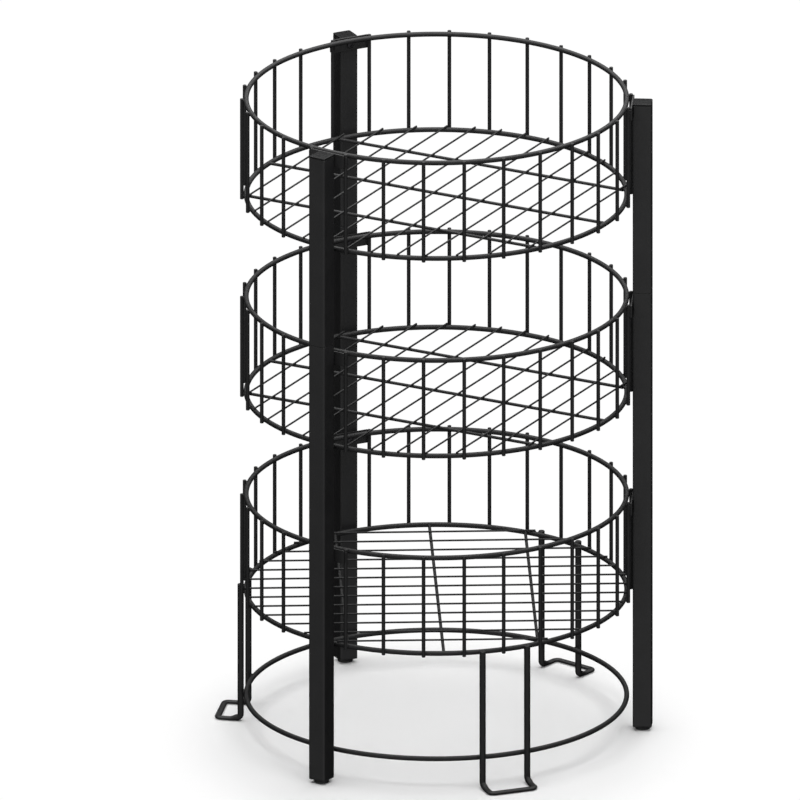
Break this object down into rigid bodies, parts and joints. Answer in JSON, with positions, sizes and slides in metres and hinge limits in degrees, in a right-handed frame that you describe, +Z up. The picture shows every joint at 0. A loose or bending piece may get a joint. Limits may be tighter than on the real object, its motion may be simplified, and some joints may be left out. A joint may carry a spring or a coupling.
{
  "type": "wire basket display rack",
  "caption": "Free-standing display rack: round wire baskets one above another between square-tube posts, with bent-rod legs under the lowest basket.",
  "frame": {"origin": "where the rack's vertical axis meets the floor", "axes": "+Z up along the rack's axis; +X from the axis towards the right-hand post"},
  "size_m": [0.6915, 0.6417, 1.051],
  "materials": {
    "post_steel": "satin black powder coat",
    "basket_wire": "semi-gloss black powder coat",
    "bracket_steel": "satin black powder coat",
    "cap_plastic": "fine-grained black moulding",
    "foot_plastic": "black moulding",
    "screw_steel": "black oxide",
    "spigot_steel": "thin black paint, rubbed where it slides",
    "zinc_steel": "bright zinc plate"
  },
  "bodies": {
    "frame": {"bottom_lower_ring": "basket_wire", "bottom_upper_ring": "basket_wire", "bottom_side_wires": "basket_wire", "bottom_floor_wires": "basket_wire", "bottom_floor_ribs": "basket_wire", "bottom_brackets": "bracket_steel", "bottom_screws": "screw_steel", "bottom_rivet_nuts": "zinc_steel", "middle_lower_ring": "basket_wire", "middle_upper_ring": "basket_wire", "middle_side_wires": "basket_wire", "middle_floor_wires": "basket_wire", "middle_floor_ribs": "basket_wire", "middle_brackets": "bracket_steel", "middle_screws": "screw_steel", "middle_rivet_nuts": "zinc_steel", "lower_post_right": "post_steel", "post_spigot_right": "spigot_steel", "foot_insert_right": "foot_plastic", "lower_post_back": "post_steel", "post_spigot_back": "spigot_steel", "foot_insert_back": "foot_plastic", "lower_post_front": "post_steel", "post_spigot_front": "spigot_steel", "foot_insert_front": "foot_plastic", "floor_ring": "basket_wire", "leg_front": "basket_wire", "leg_back": "basket_wire", "leg_left": "basket_wire"},
    "top_tier": {"top_lower_ring": "basket_wire", "top_upper_ring": "basket_wire", "top_side_wires": "basket_wire", "top_floor_wires": "basket_wire", "top_floor_ribs": "basket_wire", "top_brackets": "bracket_steel", "top_screws": "screw_steel", "top_rivet_nuts": "zinc_steel", "upper_post_right": "post_steel", "upper_post_back": "post_steel", "upper_post_front": "post_steel", "post_cap_right": "cap_plastic", "post_cap_back": "cap_plastic", "post_cap_front": "cap_plastic"},
    "pad_right": {"foot_pad_right": "foot_plastic"},
    "stud_right": {"foot_stud_right": "zinc_steel"},
    "pad_back": {"foot_pad_back": "foot_plastic"},
    "stud_back": {"foot_stud_back": "zinc_steel"},
    "pad_front": {"foot_pad_front": "foot_plastic"},
    "stud_front": {"foot_stud_front": "zinc_steel"}
  },
  "joints": [
    {"name": "top_tier_lift", "type": "slide", "parent": "frame", "child": "top_tier", "axis": [0, 0, 1], "range_m": [0, 0.06]},
    {"name": "foot_right_level", "type": "slide", "parent": "frame", "child": "pad_right", "axis": [0, 0, -1], "range_m": [0, 0.015]},
    {"name": "foot_right_screw", "type": "hinge", "parent": "pad_right", "child": "stud_right", "pos_m": [0.32586, 0, 0.02], "axis": [0, 0, -1], "range_deg": [0, 4321]},
    {"name": "foot_back_level", "type": "slide", "parent": "frame", "child": "pad_back", "axis": [0, 0, -1], "range_m": [0, 0.015]},
    {"name": "foot_back_screw", "type": "hinge", "parent": "pad_back", "child": "stud_back", "pos_m": [-0.16293, 0.2822, 0.02], "axis": [0, 0, -1], "range_deg": [0, 4321]},
    {"name": "foot_front_level", "type": "slide", "parent": "frame", "child": "pad_front", "axis": [0, 0, -1], "range_m": [0, 0.015]},
    {"name": "foot_front_screw", "type": "hinge", "parent": "pad_front", "child": "stud_front", "pos_m": [-0.16293, -0.2822, 0.02], "axis": [0, 0, -1], "range_deg": [0, 4321]}
  ],
  "couplings": [
    {"joint": "foot_right_screw", "follows": "foot_right_level", "rad_per_m": 5026.5},
    {"joint": "foot_back_screw", "follows": "foot_back_level", "rad_per_m": 5026.5},
    {"joint": "foot_front_screw", "follows": "foot_front_level", "rad_per_m": 5026.5}
  ]
}
